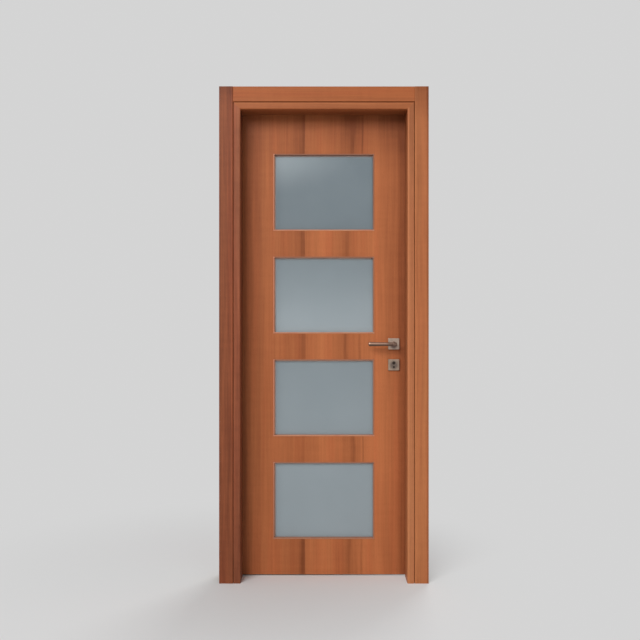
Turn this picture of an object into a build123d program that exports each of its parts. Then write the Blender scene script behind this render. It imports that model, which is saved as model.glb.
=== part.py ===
from build123d import *
import os
from math import sqrt

# A glazed interior door: a rebated lining with architraves on both sides of the wall,
# and a flush leaf with four satin glass panes, hung on three butt hinges.
# X runs from the hinge side to the lock side, Y from the front to the back, and Z up.
# The origin is at floor level on the wall face of the hinge jamb, half way through the lining.
# All sizes are in millimetres.

# Doorway and lining
CLEAR_WIDTH = 720.0
CLEAR_HEIGHT = 2045.0
LINING_THICKNESS = 42.0
LINING_DEPTH = 150.0
LINING_BAND = 30.0
REBATE_WIDTH = 17.0
BAND_ROUND = 5.0
QUIRK_ROUND = 2.5
ARRIS_ROUND = 1.5

# Architraves
ARCHITRAVE_WIDTH = 60.0
HEAD_ARCHITRAVE_WIDTH = 66.0
ARCHITRAVE_THICKNESS = 12.0
ARCHITRAVE_ROUND = 3.0
QUIRK_WIDTH = 2.0

# Door seal
SEAL_HEIGHT = 3.0
SEAL_WIDTH = 8.0
SEAL_ROUND = 2.4
SEAL_GROOVE_WIDTH = 4.0
SEAL_GROOVE_DEPTH = 6.0

# Leaf
LEAF_THICKNESS = 40.0
SKIN_THICKNESS = 4.0
RUNNING_GAP = 5.0
SWING_GAP = 5.0
FLOOR_GAP = 6.0
LEAF_ARRIS_ROUND = 1.0
BOTTOM_RAIL_HEIGHT = 157.0
CROSS_RAIL_HEIGHT = 114.0
TOP_RAIL_HEIGHT = 183.0

# Panes and glazing beads
PANE_WIDTH = 437.0
GLASS_THICKNESS = 5.0
GLASS_EDGE_COVER = 4.0
GLASS_BEDDING = 0.25
BEAD_WIDTH = 6.0
BEAD_PROUD = 1.0
BEAD_INNER_ROUND = 2.5
BEAD_OUTER_ROUND = 0.8
BEAD_MITRE_GAP = 0.2

# Hinges
HINGE_HEIGHT = 100.0
HINGE_PLATE_WIDTH = 30.0
HINGE_PLATE_THICKNESS = 2.5
HINGE_FROM_TOP = 200.0
HINGE_FROM_BOTTOM = 250.0
KNUCKLE_RADIUS = 6.5
KNUCKLE_COUNT = 5
KNUCKLE_GAP = 0.4
KNUCKLE_CLEARANCE = 0.5
PIN_RADIUS = 3.0
PIN_FIT = 0.05
PIN_RUNNING_FIT = 0.1
PIN_TIP_RADIUS = 5.0
PIN_TIP_HEIGHT = 4.0
PIN_TIP_ROUND = 2.5

# Lever handles and escutcheons
LEVER_HEIGHT = 1030.0
BACKSET = 60.0
ROSE_SIZE = 50.0
ROSE_DEPTH = 9.0
ROSE_CORNER_ROUND = 3.0
ROSE_FACE_ROUND = 1.5
COLLAR_RADIUS = 10.5
COLLAR_PROUD = 4.0
COLLAR_ROUND = 1.0
COLLAR_FIT = 0.3
LEVER_PROJECTION = 62.0
LEVER_LENGTH = 116.0
NECK_WIDTH = 20.0
NECK_HEIGHT = 15.5
NECK_CORNER_ROUND = 6.0
NECK_FACE_ROUND = 2.5
GRIP_SETBACK = 1.0
GRIP_HEIGHT = 14.0
GRIP_THICKNESS = 12.0
TIP_HEIGHT = 19.0
TIP_ROUND = 8.0
SPINDLE_SIZE = 8.0
SPINDLE_DEPTH = 18.0
SPINDLE_FIT = 0.1
SPINDLE_HOLE_RADIUS = 9.0

# Lock
LEVER_TO_CYLINDER = 85.0
ESCUTCHEON_DROP = 8.0
CYLINDER_RADIUS = 8.5
CYLINDER_HEIGHT = 33.0
CYLINDER_LEG_WIDTH = 10.0
CYLINDER_PROUD = 1.5
KEYWAY_WIDTH = 2.5
KEYWAY_HEIGHT = 9.0
KEYWAY_DEPTH = 20.0
FACEPLATE_WIDTH = 20.0
FACEPLATE_HEIGHT = 235.0
FACEPLATE_THICKNESS = 3.0
BOLT_THICKNESS = 12.0
BOLT_LENGTH = 40.0
LATCH_HEIGHT = 30.0
DEAD_BOLT_HEIGHT = 36.0
DEAD_BOLT_RISE = 25.0
STRIKE_WIDTH = 24.0
STRIKE_HEIGHT = 180.0
STRIKE_THICKNESS = 2.5
STRIKE_CORNER_ROUND = 6.0
STRIKE_CLEARANCE = 3.0
STRIKE_POCKET_DEPTH = 14.0

# Clearance between fixed pieces that are let into each other
FITTING_GAP = 0.3

# Names of the panes and rails, from the floor up
PANE_NAMES = ("bottom_pane", "lower_pane", "upper_pane", "top_pane")
RAIL_NAMES = ("bottom_rail", "lower_rail", "middle_rail", "upper_rail", "top_rail")
HINGE_NAMES = ("bottom_hinge", "middle_hinge", "top_hinge")

# Places of the lining and architraves
frame_width = CLEAR_WIDTH + 2 * LINING_THICKNESS
frame_height = CLEAR_HEIGHT + LINING_THICKNESS
middle_x = frame_width / 2
front_y = -LINING_DEPTH / 2
back_y = LINING_DEPTH / 2
step = LINING_THICKNESS - LINING_BAND
architrave_back = front_y + ARCHITRAVE_THICKNESS
architrave_inner = step - QUIRK_WIDTH
architrave_outer = architrave_inner - ARCHITRAVE_WIDTH
head_architrave_bottom = frame_height - architrave_inner
casing_height = head_architrave_bottom + HEAD_ARCHITRAVE_WIDTH
rebate_x = LINING_THICKNESS - REBATE_WIDTH
strike_x = frame_width - rebate_x

# Places of the leaf in its rebate. The lock edge stands back far enough for the leaf's front
# corner to keep its running gap while the leaf turns about the hinge pins.
leaf_front = back_y - LEAF_THICKNESS
leaf_middle = back_y - LEAF_THICKNESS / 2
core_front = leaf_front + SKIN_THICKNESS
core_back = back_y - SKIN_THICKNESS
shoulder_y = leaf_front - SWING_GAP - SEAL_HEIGHT
groove_u = LINING_THICKNESS - REBATE_WIDTH / 2
hinge_edge = rebate_x + RUNNING_GAP
hinge_axis_x = (rebate_x + hinge_edge) / 2
hinge_axis_y = back_y + KNUCKLE_RADIUS + KNUCKLE_CLEARANCE
swing_reach = strike_x - RUNNING_GAP - hinge_axis_x
lock_edge = hinge_axis_x + sqrt(swing_reach**2 - (hinge_axis_y - leaf_front) ** 2)
leaf_top = CLEAR_HEIGHT + REBATE_WIDTH - RUNNING_GAP

# Places of the openings for the panes, which share the height that the rails leave
cut_width = PANE_WIDTH + 2 * BEAD_WIDTH
cross_rails = (len(PANE_NAMES) - 1) * CROSS_RAIL_HEIGHT
glazed_height = leaf_top - FLOOR_GAP - BOTTOM_RAIL_HEIGHT - TOP_RAIL_HEIGHT - cross_rails
cut_height = glazed_height / len(PANE_NAMES)
pane_height = cut_height - 2 * BEAD_WIDTH
cut_left = middle_x - cut_width / 2
cut_right = middle_x + cut_width / 2
pane_pitch = cut_height + CROSS_RAIL_HEIGHT
cut_bottoms = [FLOOR_GAP + BOTTOM_RAIL_HEIGHT + i * pane_pitch for i in range(len(PANE_NAMES))]

# Places of the hinges, from the floor up
lowest_hinge = FLOOR_GAP + HINGE_FROM_BOTTOM
highest_hinge = leaf_top - HINGE_FROM_TOP
hinge_heights = (lowest_hinge, (lowest_hinge + highest_hinge) / 2, highest_hinge)
knuckle_pitch = HINGE_HEIGHT / KNUCKLE_COUNT
knuckle_height = knuckle_pitch - KNUCKLE_GAP
plate_front = back_y - HINGE_PLATE_WIDTH

# Places of the handles and the lock
lever_x = lock_edge - BACKSET
grip_y = leaf_front - LEVER_PROJECTION + GRIP_SETBACK + GRIP_THICKNESS / 2
cylinder_z = LEVER_HEIGHT - LEVER_TO_CYLINDER
cylinder_drop = CYLINDER_HEIGHT - CYLINDER_RADIUS - CYLINDER_LEG_WIDTH / 2
escutcheon_z = cylinder_z - ESCUTCHEON_DROP
lock_z = (LEVER_HEIGHT + cylinder_z) / 2
bolt_rows = ((LEVER_HEIGHT, LATCH_HEIGHT), (cylinder_z + DEAD_BOLT_RISE, DEAD_BOLT_HEIGHT))

# Planes of symmetry, and the mitres where the jambs meet the head
DOOR_CENTRE = Plane(origin=(middle_x, 0, 0), z_dir=(1, 0, 0))
LINING_CENTRE = Plane(origin=(0, 0, 0), z_dir=(0, 1, 0))
LEAF_CENTRE = Plane(origin=(0, leaf_middle, 0), z_dir=(0, 1, 0))
HINGE_MITRE = Plane(origin=(LINING_THICKNESS, 0, CLEAR_HEIGHT), z_dir=(1, 0, 1))
STRIKE_MITRE = Plane(origin=(frame_width - LINING_THICKNESS, 0, CLEAR_HEIGHT), z_dir=(-1, 0, 1))
HEAD_PLANE = Plane(origin=(0, 0, frame_height), x_dir=(0, 0, -1), z_dir=(1, 0, 0))
ROSE_PLANE = Plane(origin=(lever_x, leaf_front, LEVER_HEIGHT), x_dir=(1, 0, 0), z_dir=(0, -1, 0))
CYLINDER_PLANE = Plane(origin=(lever_x, leaf_front, cylinder_z), x_dir=(1, 0, 0), z_dir=(0, -1, 0))
ESCUTCHEON_PLANE = Plane(origin=(lever_x, leaf_front, escutcheon_z), x_dir=(1, 0, 0), z_dir=(0, -1, 0))

nodes = {}


def box_between(low, high, mode=Mode.ADD):
    """Put a box between two opposite corners into the part being built."""
    sides = [b - a for a, b in zip(low, high)]
    with Locations(low):
        Box(*sides, align=(Align.MIN, Align.MIN, Align.MIN), mode=mode)


def euro_profile(clearance):
    """The outline of the lock cylinder, a round barrel over a narrow leg, with room around it."""
    leg_radius = CYLINDER_LEG_WIDTH / 2 + clearance
    with BuildSketch() as profile:
        Circle(CYLINDER_RADIUS + clearance)
        with Locations((0, -cylinder_drop / 2)):
            Rectangle(2 * leg_radius, cylinder_drop)
        with Locations((0, -cylinder_drop)):
            Circle(leg_radius)
    return profile.sketch


# Section of the lining, from its wall face (X = 0) inwards, and of the seal in its shoulder
with BuildSketch() as jamb_section:
    with BuildLine():
        Polyline(
            (0, architrave_back),
            (step, architrave_back),
            (step, front_y),
            (LINING_THICKNESS, front_y),
            (LINING_THICKNESS, shoulder_y),
            (rebate_x, shoulder_y),
            (rebate_x, back_y),
            (step, back_y),
            (step, -architrave_back),
            (0, -architrave_back),
            close=True,
        )
    make_face()
    for corner, radius in (
        ((step, front_y), QUIRK_ROUND),
        ((LINING_THICKNESS, front_y), BAND_ROUND),
        ((LINING_THICKNESS, shoulder_y), ARRIS_ROUND),
        ((rebate_x, back_y), ARRIS_ROUND),
        ((step, back_y), QUIRK_ROUND),
    ):
        fillet(jamb_section.vertices().sort_by_distance(corner)[0], radius=radius)
    with Locations((groove_u, shoulder_y)):
        Rectangle(
            SEAL_GROOVE_WIDTH,
            SEAL_GROOVE_DEPTH,
            align=(Align.CENTER, Align.MAX),
            mode=Mode.SUBTRACT,
        )

with BuildSketch() as seal_section:
    with Locations((groove_u, shoulder_y)):
        Rectangle(SEAL_WIDTH, SEAL_HEIGHT, align=(Align.CENTER, Align.MIN))
    fillet(seal_section.vertices().group_by(Axis.Y)[-1], radius=SEAL_ROUND)
    with Locations((groove_u, shoulder_y)):
        Rectangle(
            SEAL_GROOVE_WIDTH - 2 * FITTING_GAP,
            SEAL_GROOVE_DEPTH - FITTING_GAP,
            align=(Align.CENTER, Align.MAX),
        )

# Lining: two jambs mitred to the head
with BuildPart() as plain_jamb:
    with BuildSketch():
        add(jamb_section.sketch)
    extrude(amount=frame_height)
    split(bisect_by=HINGE_MITRE, keep=Keep.BOTTOM)

with BuildPart() as hinge_jamb:
    add(plain_jamb.part)
    for height in hinge_heights:
        half = HINGE_HEIGHT / 2 + FITTING_GAP
        box_between(
            (rebate_x - HINGE_PLATE_THICKNESS, plate_front - FITTING_GAP, height - half),
            (hinge_edge, hinge_axis_y, height + half),
            mode=Mode.SUBTRACT,
        )
nodes["hinge_jamb"] = hinge_jamb.part

with BuildPart() as strike_jamb:
    mirror(plain_jamb.part, about=DOOR_CENTRE)
    with BuildSketch(Plane(origin=(strike_x, leaf_middle, lock_z), x_dir=(0, 1, 0), z_dir=(1, 0, 0))):
        RectangleRounded(
            STRIKE_WIDTH + 2 * FITTING_GAP,
            STRIKE_HEIGHT + 2 * FITTING_GAP,
            STRIKE_CORNER_ROUND + FITTING_GAP,
        )
    extrude(amount=STRIKE_THICKNESS, mode=Mode.SUBTRACT)
    for height, bolt_height in bolt_rows:
        half_width = BOLT_THICKNESS / 2 + STRIKE_CLEARANCE
        half_height = bolt_height / 2 + STRIKE_CLEARANCE
        box_between(
            (strike_x, leaf_middle - half_width, height - half_height),
            (strike_x + STRIKE_POCKET_DEPTH, leaf_middle + half_width, height + half_height),
            mode=Mode.SUBTRACT,
        )
nodes["strike_jamb"] = strike_jamb.part

with BuildPart() as head_jamb:
    with BuildSketch(HEAD_PLANE):
        add(jamb_section.sketch)
    extrude(amount=frame_width)
    split(bisect_by=HINGE_MITRE, keep=Keep.TOP)
    split(bisect_by=STRIKE_MITRE, keep=Keep.TOP)
nodes["head_jamb"] = head_jamb.part

# Architraves: full-height uprights with the head let in between them
with BuildPart() as hinge_upright:
    box_between((architrave_outer, front_y, 0), (architrave_inner, architrave_back, casing_height))
    fillet(hinge_upright.faces().sort_by(Axis.Y)[0].edges().filter_by(Axis.Z), radius=ARCHITRAVE_ROUND)
nodes["front_hinge_architrave"] = hinge_upright.part

with BuildPart() as strike_upright:
    mirror(hinge_upright.part, about=DOOR_CENTRE)
nodes["front_strike_architrave"] = strike_upright.part

with BuildPart() as head_architrave:
    head_left = architrave_inner + FITTING_GAP
    box_between(
        (head_left, front_y, head_architrave_bottom),
        (frame_width - head_left, architrave_back, casing_height),
    )
    fillet(head_architrave.faces().sort_by(Axis.Y)[0].edges().filter_by(Axis.X), radius=ARCHITRAVE_ROUND)
nodes["front_head_architrave"] = head_architrave.part

for name in ("hinge_architrave", "strike_architrave", "head_architrave"):
    with BuildPart() as back_architrave:
        mirror(nodes[f"front_{name}"], about=LINING_CENTRE)
    nodes[f"back_{name}"] = back_architrave.part

# Door seal in the shoulder of the rebate, in three lengths
with BuildPart() as door_seal:
    with BuildSketch():
        add(seal_section.sketch)
    extrude(amount=frame_height)
    split(bisect_by=HINGE_MITRE.offset(-FITTING_GAP), keep=Keep.BOTTOM)
    mirror(about=DOOR_CENTRE)
    with BuildPart(mode=Mode.PRIVATE) as head_seal:
        with BuildSketch(HEAD_PLANE):
            add(seal_section.sketch)
        extrude(amount=frame_width)
        split(bisect_by=HINGE_MITRE, keep=Keep.TOP)
        split(bisect_by=STRIKE_MITRE, keep=Keep.TOP)
    add(head_seal.part)
nodes["door_seal"] = door_seal.part

# Hinges: on each, the frame's plate carries the odd knuckles and the leaf's plate the even ones
def hinge_half(height, plate_x, knuckle_rows, bore_radius):
    """One plate of a butt hinge with the knuckles that it carries, bored for the pin."""
    low = height - HINGE_HEIGHT / 2
    with BuildPart() as half_hinge:
        box_between(
            (plate_x, plate_front, low),
            (plate_x + HINGE_PLATE_THICKNESS, back_y, low + HINGE_HEIGHT),
        )
        for row in knuckle_rows:
            knuckle_low = low + row * knuckle_pitch + KNUCKLE_GAP / 2
            box_between(
                (plate_x, plate_front, knuckle_low),
                (plate_x + HINGE_PLATE_THICKNESS, hinge_axis_y, knuckle_low + knuckle_height),
            )
            with Locations((hinge_axis_x, hinge_axis_y, knuckle_low)):
                Cylinder(KNUCKLE_RADIUS, knuckle_height, align=(Align.CENTER, Align.CENTER, Align.MIN))
        with Locations((hinge_axis_x, hinge_axis_y, low)):
            Cylinder(
                bore_radius,
                HINGE_HEIGHT,
                align=(Align.CENTER, Align.CENTER, Align.MIN),
                mode=Mode.SUBTRACT,
            )
    return half_hinge.part


for name, height in zip(HINGE_NAMES, hinge_heights):
    nodes[f"{name}_frame_leaf"] = hinge_half(
        height,
        rebate_x - HINGE_PLATE_THICKNESS,
        range(0, KNUCKLE_COUNT, 2),
        PIN_RADIUS + PIN_FIT,
    )
    nodes[f"{name}_door_leaf"] = hinge_half(
        height,
        hinge_edge,
        range(1, KNUCKLE_COUNT, 2),
        PIN_RADIUS + PIN_RUNNING_FIT,
    )

with BuildPart() as hinge_pins:
    for height in hinge_heights:
        pin_plane = Plane(origin=(hinge_axis_x, hinge_axis_y, height), x_dir=(1, 0, 0), z_dir=(0, -1, 0))
        with BuildSketch(pin_plane) as pin_half:
            Rectangle(PIN_RADIUS, HINGE_HEIGHT, align=(Align.MIN, Align.CENTER))
            with Locations((0, HINGE_HEIGHT / 2)):
                Rectangle(PIN_TIP_RADIUS, PIN_TIP_HEIGHT, align=(Align.MIN, Align.MIN))
            with Locations((0, -HINGE_HEIGHT / 2)):
                Rectangle(PIN_TIP_RADIUS, PIN_TIP_HEIGHT, align=(Align.MIN, Align.MAX))
            tips = pin_half.vertices().group_by(Axis.X)[-1].sort_by(Axis.Y)
            fillet((tips[0], tips[-1]), radius=PIN_TIP_ROUND)
        revolve(axis=Axis((hinge_axis_x, hinge_axis_y, 0), (0, 0, 1)))
nodes["hinge_pins"] = hinge_pins.part

# Strike plate, flush in the rebate of the strike jamb, with a window for each bolt
with BuildPart() as strike_plate:
    with BuildSketch(Plane(origin=(strike_x, leaf_middle, lock_z), x_dir=(0, 1, 0), z_dir=(1, 0, 0))):
        RectangleRounded(STRIKE_WIDTH, STRIKE_HEIGHT, STRIKE_CORNER_ROUND)
        for height, bolt_height in bolt_rows:
            with Locations((0, height - lock_z)):
                Rectangle(
                    BOLT_THICKNESS + STRIKE_CLEARANCE,
                    bolt_height + STRIKE_CLEARANCE,
                    mode=Mode.SUBTRACT,
                )
    extrude(amount=STRIKE_THICKNESS)
nodes["strike_plate"] = strike_plate.part

# Leaf: a core of two stiles and five rails between two veneered skins
with BuildPart() as hinge_stile:
    box_between((hinge_edge, core_front, FLOOR_GAP), (cut_left, core_back, leaf_top))
    for height in hinge_heights:
        half = HINGE_HEIGHT / 2 + FITTING_GAP
        box_between(
            (hinge_edge, plate_front - FITTING_GAP, height - half),
            (hinge_edge + HINGE_PLATE_THICKNESS, back_y, height + half),
            mode=Mode.SUBTRACT,
        )
nodes["hinge_stile"] = hinge_stile.part

with BuildPart() as lock_stile:
    box_between((cut_right, core_front, FLOOR_GAP), (lock_edge, core_back, leaf_top))
    with BuildSketch(ROSE_PLANE):
        Circle(SPINDLE_HOLE_RADIUS)
    with BuildSketch(CYLINDER_PLANE):
        add(euro_profile(FITTING_GAP))
    extrude(amount=-LEAF_THICKNESS, mode=Mode.SUBTRACT)
    with BuildSketch(Plane(origin=(lock_edge, leaf_middle, lock_z), x_dir=(0, 1, 0), z_dir=(1, 0, 0))):
        SlotOverall(
            FACEPLATE_HEIGHT + 2 * FITTING_GAP,
            FACEPLATE_WIDTH + 2 * FITTING_GAP,
            rotation=90,
        )
    extrude(amount=-FACEPLATE_THICKNESS, mode=Mode.SUBTRACT)
    for height, bolt_height in bolt_rows:
        half_width = BOLT_THICKNESS / 2 + FITTING_GAP
        half_height = bolt_height / 2 + FITTING_GAP
        box_between(
            (lock_edge - BOLT_LENGTH - FITTING_GAP, leaf_middle - half_width, height - half_height),
            (lock_edge, leaf_middle + half_width, height + half_height),
            mode=Mode.SUBTRACT,
        )
nodes["lock_stile"] = lock_stile.part

rail_bottoms = [FLOOR_GAP] + [bottom + cut_height for bottom in cut_bottoms]
rail_tops = cut_bottoms + [leaf_top]
for name, bottom, top in zip(RAIL_NAMES, rail_bottoms, rail_tops):
    with BuildPart() as rail:
        box_between((cut_left, core_front, bottom), (cut_right, core_back, top))
    nodes[name] = rail.part

with BuildPart() as front_skin:
    box_between((hinge_edge, leaf_front, FLOOR_GAP), (lock_edge, core_front, leaf_top))
    fillet(front_skin.faces().sort_by(Axis.Y)[0].edges(), radius=LEAF_ARRIS_ROUND)
    for bottom in cut_bottoms:
        box_between(
            (cut_left, leaf_front, bottom),
            (cut_right, core_front, bottom + cut_height),
            mode=Mode.SUBTRACT,
        )
    with BuildSketch(ROSE_PLANE):
        Circle(SPINDLE_HOLE_RADIUS)
    with BuildSketch(CYLINDER_PLANE):
        add(euro_profile(FITTING_GAP))
    extrude(amount=-SKIN_THICKNESS, mode=Mode.SUBTRACT)
nodes["front_skin"] = front_skin.part

with BuildPart() as back_skin:
    mirror(front_skin.part, about=LEAF_CENTRE)
    for height in hinge_heights:
        half = HINGE_HEIGHT / 2 + FITTING_GAP
        box_between(
            (hinge_edge, core_back, height - half),
            (hinge_edge + HINGE_PLATE_THICKNESS, back_y, height + half),
            mode=Mode.SUBTRACT,
        )
nodes["back_skin"] = back_skin.part

# Panes, each held by mitred beads on both faces
glass_front = leaf_middle - GLASS_THICKNESS / 2
glass_back = leaf_middle + GLASS_THICKNESS / 2
bead_front = leaf_front - BEAD_PROUD
bead_depth = glass_front - GLASS_BEDDING - bead_front


def bead_ring(centre_z):
    """The four mitred beads on the front of one pane."""
    bead_plane = Plane(origin=(middle_x, bead_front, centre_z), x_dir=(1, 0, 0), z_dir=(0, -1, 0))
    outer_width = cut_width - 2 * FITTING_GAP
    outer_height = cut_height - 2 * FITTING_GAP
    kerf_length = 4 * BEAD_WIDTH
    with BuildPart() as ring:
        with BuildSketch(bead_plane):
            Rectangle(outer_width, outer_height)
            Rectangle(PANE_WIDTH, pane_height, mode=Mode.SUBTRACT)
        extrude(amount=-bead_depth)
        fillet(ring.faces().sort_by(Axis.Y)[0].inner_wires()[0].edges(), radius=BEAD_INNER_ROUND)
        fillet(ring.faces().sort_by(Axis.Y)[0].outer_wire().edges(), radius=BEAD_OUTER_ROUND)
        for side_x in (-1, 1):
            for side_z in (-1, 1):
                corner = (middle_x + side_x * cut_width / 2, bead_front, centre_z + side_z * cut_height / 2)
                kerf = Plane(origin=corner, x_dir=(side_x, 0, side_z), z_dir=(0, -1, 0))
                with BuildSketch(kerf):
                    Rectangle(kerf_length, BEAD_MITRE_GAP)
                extrude(amount=-bead_depth, mode=Mode.SUBTRACT)
    return ring.part


for name, bottom in zip(PANE_NAMES, cut_bottoms):
    centre_z = bottom + cut_height / 2
    half_width = PANE_WIDTH / 2 + GLASS_EDGE_COVER
    half_height = pane_height / 2 + GLASS_EDGE_COVER
    with BuildPart() as pane:
        box_between(
            (middle_x - half_width, glass_front, centre_z - half_height),
            (middle_x + half_width, glass_back, centre_z + half_height),
        )
    nodes[name] = pane.part
    with BuildPart() as beads:
        add(bead_ring(centre_z))
        mirror(about=LEAF_CENTRE)
    nodes[f"{name}_beads"] = beads.part

# Lock: faceplate and bolts in the lock edge, and the cylinder through the leaf
with BuildPart() as lock_faceplate:
    with BuildSketch(Plane(origin=(lock_edge, leaf_middle, lock_z), x_dir=(0, 1, 0), z_dir=(1, 0, 0))):
        SlotOverall(FACEPLATE_HEIGHT, FACEPLATE_WIDTH, rotation=90)
        for height, bolt_height in bolt_rows:
            with Locations((0, height - lock_z)):
                Rectangle(
                    BOLT_THICKNESS + 2 * FITTING_GAP,
                    bolt_height + 2 * FITTING_GAP,
                    mode=Mode.SUBTRACT,
                )
    extrude(amount=-FACEPLATE_THICKNESS)
nodes["lock_faceplate"] = lock_faceplate.part

with BuildPart() as lock_bolts:
    for height, bolt_height in bolt_rows:
        box_between(
            (lock_edge - BOLT_LENGTH, leaf_middle - BOLT_THICKNESS / 2, height - bolt_height / 2),
            (lock_edge, leaf_middle + BOLT_THICKNESS / 2, height + bolt_height / 2),
        )
nodes["lock_bolts"] = lock_bolts.part

with BuildPart() as lock_cylinder:
    cylinder_front = CYLINDER_PLANE.offset(ROSE_DEPTH + CYLINDER_PROUD)
    with BuildSketch(cylinder_front):
        add(euro_profile(0))
    extrude(amount=-(LEAF_THICKNESS + 2 * (ROSE_DEPTH + CYLINDER_PROUD)))
    with BuildSketch(cylinder_front):
        Rectangle(KEYWAY_WIDTH, KEYWAY_HEIGHT)
    extrude(amount=-KEYWAY_DEPTH, mode=Mode.SUBTRACT)
    mirror(lock_cylinder.part, about=LEAF_CENTRE, mode=Mode.INTERSECT)
nodes["lock_cylinder"] = lock_cylinder.part


# Roses and escutcheons: square plates with a soft edge, one on each face of the leaf
def square_plate(plate_plane):
    """A square plate on the front of the leaf, rounded at its corners and around its face."""
    with BuildPart() as plate:
        with BuildSketch(plate_plane):
            RectangleRounded(ROSE_SIZE, ROSE_SIZE, ROSE_CORNER_ROUND)
        extrude(amount=ROSE_DEPTH)
        fillet(plate.faces().sort_by(Axis.Y)[0].edges(), radius=ROSE_FACE_ROUND)
    return plate.part


with BuildPart() as front_rose:
    add(square_plate(ROSE_PLANE))
    with BuildSketch(ROSE_PLANE):
        Circle(COLLAR_RADIUS + COLLAR_FIT)
    extrude(amount=ROSE_DEPTH, mode=Mode.SUBTRACT)
nodes["front_rose"] = front_rose.part

with BuildPart() as front_escutcheon:
    add(square_plate(ESCUTCHEON_PLANE))
    with BuildSketch(CYLINDER_PLANE):
        add(euro_profile(FITTING_GAP))
    extrude(amount=ROSE_DEPTH, mode=Mode.SUBTRACT)
nodes["front_escutcheon"] = front_escutcheon.part

# Levers: a round collar in the rose, a squared neck with soft edges, and an oval grip that leaves
# the neck towards the hinges, widens along its length and ends in a rounded tip
with BuildPart() as lever_grip:
    with BuildSketch(Plane.XZ) as grip_profile:
        with BuildLine():
            Polyline(
                (0, 0),
                (0, GRIP_HEIGHT / 2),
                (-LEVER_LENGTH, TIP_HEIGHT / 2),
                (-LEVER_LENGTH, 0),
                close=True,
            )
        make_face()
        tip_corner = grip_profile.vertices().sort_by_distance((-LEVER_LENGTH, TIP_HEIGHT / 2))[0]
        fillet(tip_corner, radius=TIP_ROUND)
    revolve(axis=Axis.X)
    scale(by=(1, GRIP_THICKNESS / TIP_HEIGHT, 1))

with BuildPart() as front_lever:
    with BuildSketch(ROSE_PLANE):
        Circle(COLLAR_RADIUS)
    extrude(amount=ROSE_DEPTH + COLLAR_PROUD)
    fillet(front_lever.faces().sort_by(Axis.Y)[0].edges(), radius=COLLAR_ROUND)
    with BuildSketch(ROSE_PLANE.offset(ROSE_DEPTH)):
        RectangleRounded(NECK_WIDTH, NECK_HEIGHT, NECK_CORNER_ROUND)
    extrude(amount=LEVER_PROJECTION - ROSE_DEPTH)
    fillet(front_lever.faces().sort_by(Axis.Y)[0].edges(), radius=NECK_FACE_ROUND)
    with Locations((lever_x, grip_y, LEVER_HEIGHT)):
        add(lever_grip.part)
    with BuildSketch(ROSE_PLANE):
        Rectangle(SPINDLE_SIZE + 2 * SPINDLE_FIT, SPINDLE_SIZE + 2 * SPINDLE_FIT)
    extrude(amount=SPINDLE_DEPTH, mode=Mode.SUBTRACT)
nodes["front_lever"] = front_lever.part

with BuildPart() as spindle:
    with BuildSketch(ROSE_PLANE.offset(SPINDLE_DEPTH - FITTING_GAP)):
        Rectangle(SPINDLE_SIZE, SPINDLE_SIZE)
    extrude(amount=-(LEAF_THICKNESS + 2 * (SPINDLE_DEPTH - FITTING_GAP)))
nodes["spindle"] = spindle.part

for name in ("rose", "escutcheon", "lever"):
    with BuildPart() as back_piece:
        mirror(nodes[f"front_{name}"], about=LEAF_CENTRE)
    nodes[f"back_{name}"] = back_piece.part

os.makedirs("parts", exist_ok=True)
for name, part in nodes.items():
    part.label = name
    export_step(part, f"parts/{name}.step")
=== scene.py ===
"""Dresses a glazed interior door: veneered lining and leaf, satin glass, nickel hardware."""
import logging
import math
from dataclasses import dataclass
from enum import Enum
from typing import Iterable, Sequence

import bmesh
import bpy
from mathutils import Matrix, Vector


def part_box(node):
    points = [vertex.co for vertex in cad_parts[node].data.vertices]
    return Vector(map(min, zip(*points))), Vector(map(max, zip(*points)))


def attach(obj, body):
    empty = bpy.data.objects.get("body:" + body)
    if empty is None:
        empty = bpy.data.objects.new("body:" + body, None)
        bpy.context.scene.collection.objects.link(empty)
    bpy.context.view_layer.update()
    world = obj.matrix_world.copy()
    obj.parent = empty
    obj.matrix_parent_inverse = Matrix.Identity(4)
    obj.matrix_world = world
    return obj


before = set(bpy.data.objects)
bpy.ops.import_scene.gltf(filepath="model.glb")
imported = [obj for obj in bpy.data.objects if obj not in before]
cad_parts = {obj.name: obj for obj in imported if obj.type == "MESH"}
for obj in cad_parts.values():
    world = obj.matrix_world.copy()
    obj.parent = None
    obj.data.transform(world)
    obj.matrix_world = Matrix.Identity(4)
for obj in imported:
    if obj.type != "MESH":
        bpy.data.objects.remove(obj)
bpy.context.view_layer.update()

log = logging.getLogger("glazed_door")

Socket = bpy.types.NodeSocket
Colour = tuple[float, float, float]
Point = tuple[float, float, float]
Range = tuple[float, float]
Outline = list[tuple[float, float]]

MM = 0.001
ORIGIN: Point = (0.0, 0.0, 0.0)
SHARP_ANGLE = math.radians(38)
MIDDLE = 0.5


def srgb(red: int, green: int, blue: int) -> Colour:
    """Turn a display colour of 0 to 255 into scene-linear values.

    Args:
        red: Red as shown on screen.
        green: Green as shown on screen.
        blue: Blue as shown on screen.

    Returns:
        The same colour in linear light.
    """
    def linear(channel: int) -> float:
        """One channel in linear light."""
        share = channel / 255
        return share / 12.92 if share <= 0.04045 else ((share + 0.055) / 1.055) ** 2.4

    return linear(red), linear(green), linear(blue)


# Dark end of the hinge side's veneers: painted shade. The hinge jamb and hinge architraves are shaded
# copies of the strike side's veneers, with lower light colours and tones too.
SHADED_DARK = srgb(92, 46, 28)


def even(value: float) -> Point:
    """One value for all three parts of a scale or a colour."""
    return value, value, value


class Axis(Enum):
    """An axis of the door, as an index into a coordinate."""

    X = 0
    Y = 1
    Z = 2


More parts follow.
